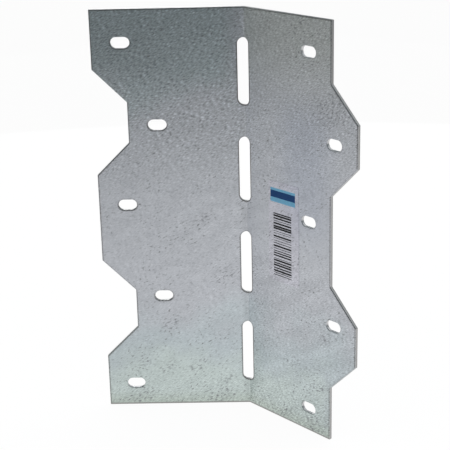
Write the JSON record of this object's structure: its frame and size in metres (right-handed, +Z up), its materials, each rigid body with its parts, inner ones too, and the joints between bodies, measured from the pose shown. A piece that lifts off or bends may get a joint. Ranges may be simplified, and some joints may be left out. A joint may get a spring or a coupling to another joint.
{
  "type": "skewable angle",
  "caption": "Galvanised sheet steel angle with zigzag edges, slots along its bend and obround nail holes, for tying timber members that meet at a skew.",
  "frame": {"origin": "middle of the bent sheet's box, on the lower edge that it stands on", "axes": "+Z up along the bend, header leg along X with its back face towards +Y, joist leg turned forward to the right by the bend angle"},
  "size_m": [0.097, 0.0428, 0.1619],
  "materials": {
    "galvanised_sheet": "dull hot-dip zinc with a fine grain",
    "label_film": null
  },
  "bodies": {
    "root": {"steel_angle": "galvanised_sheet", "clear_label": "label_film"}
  },
  "joints": []
}
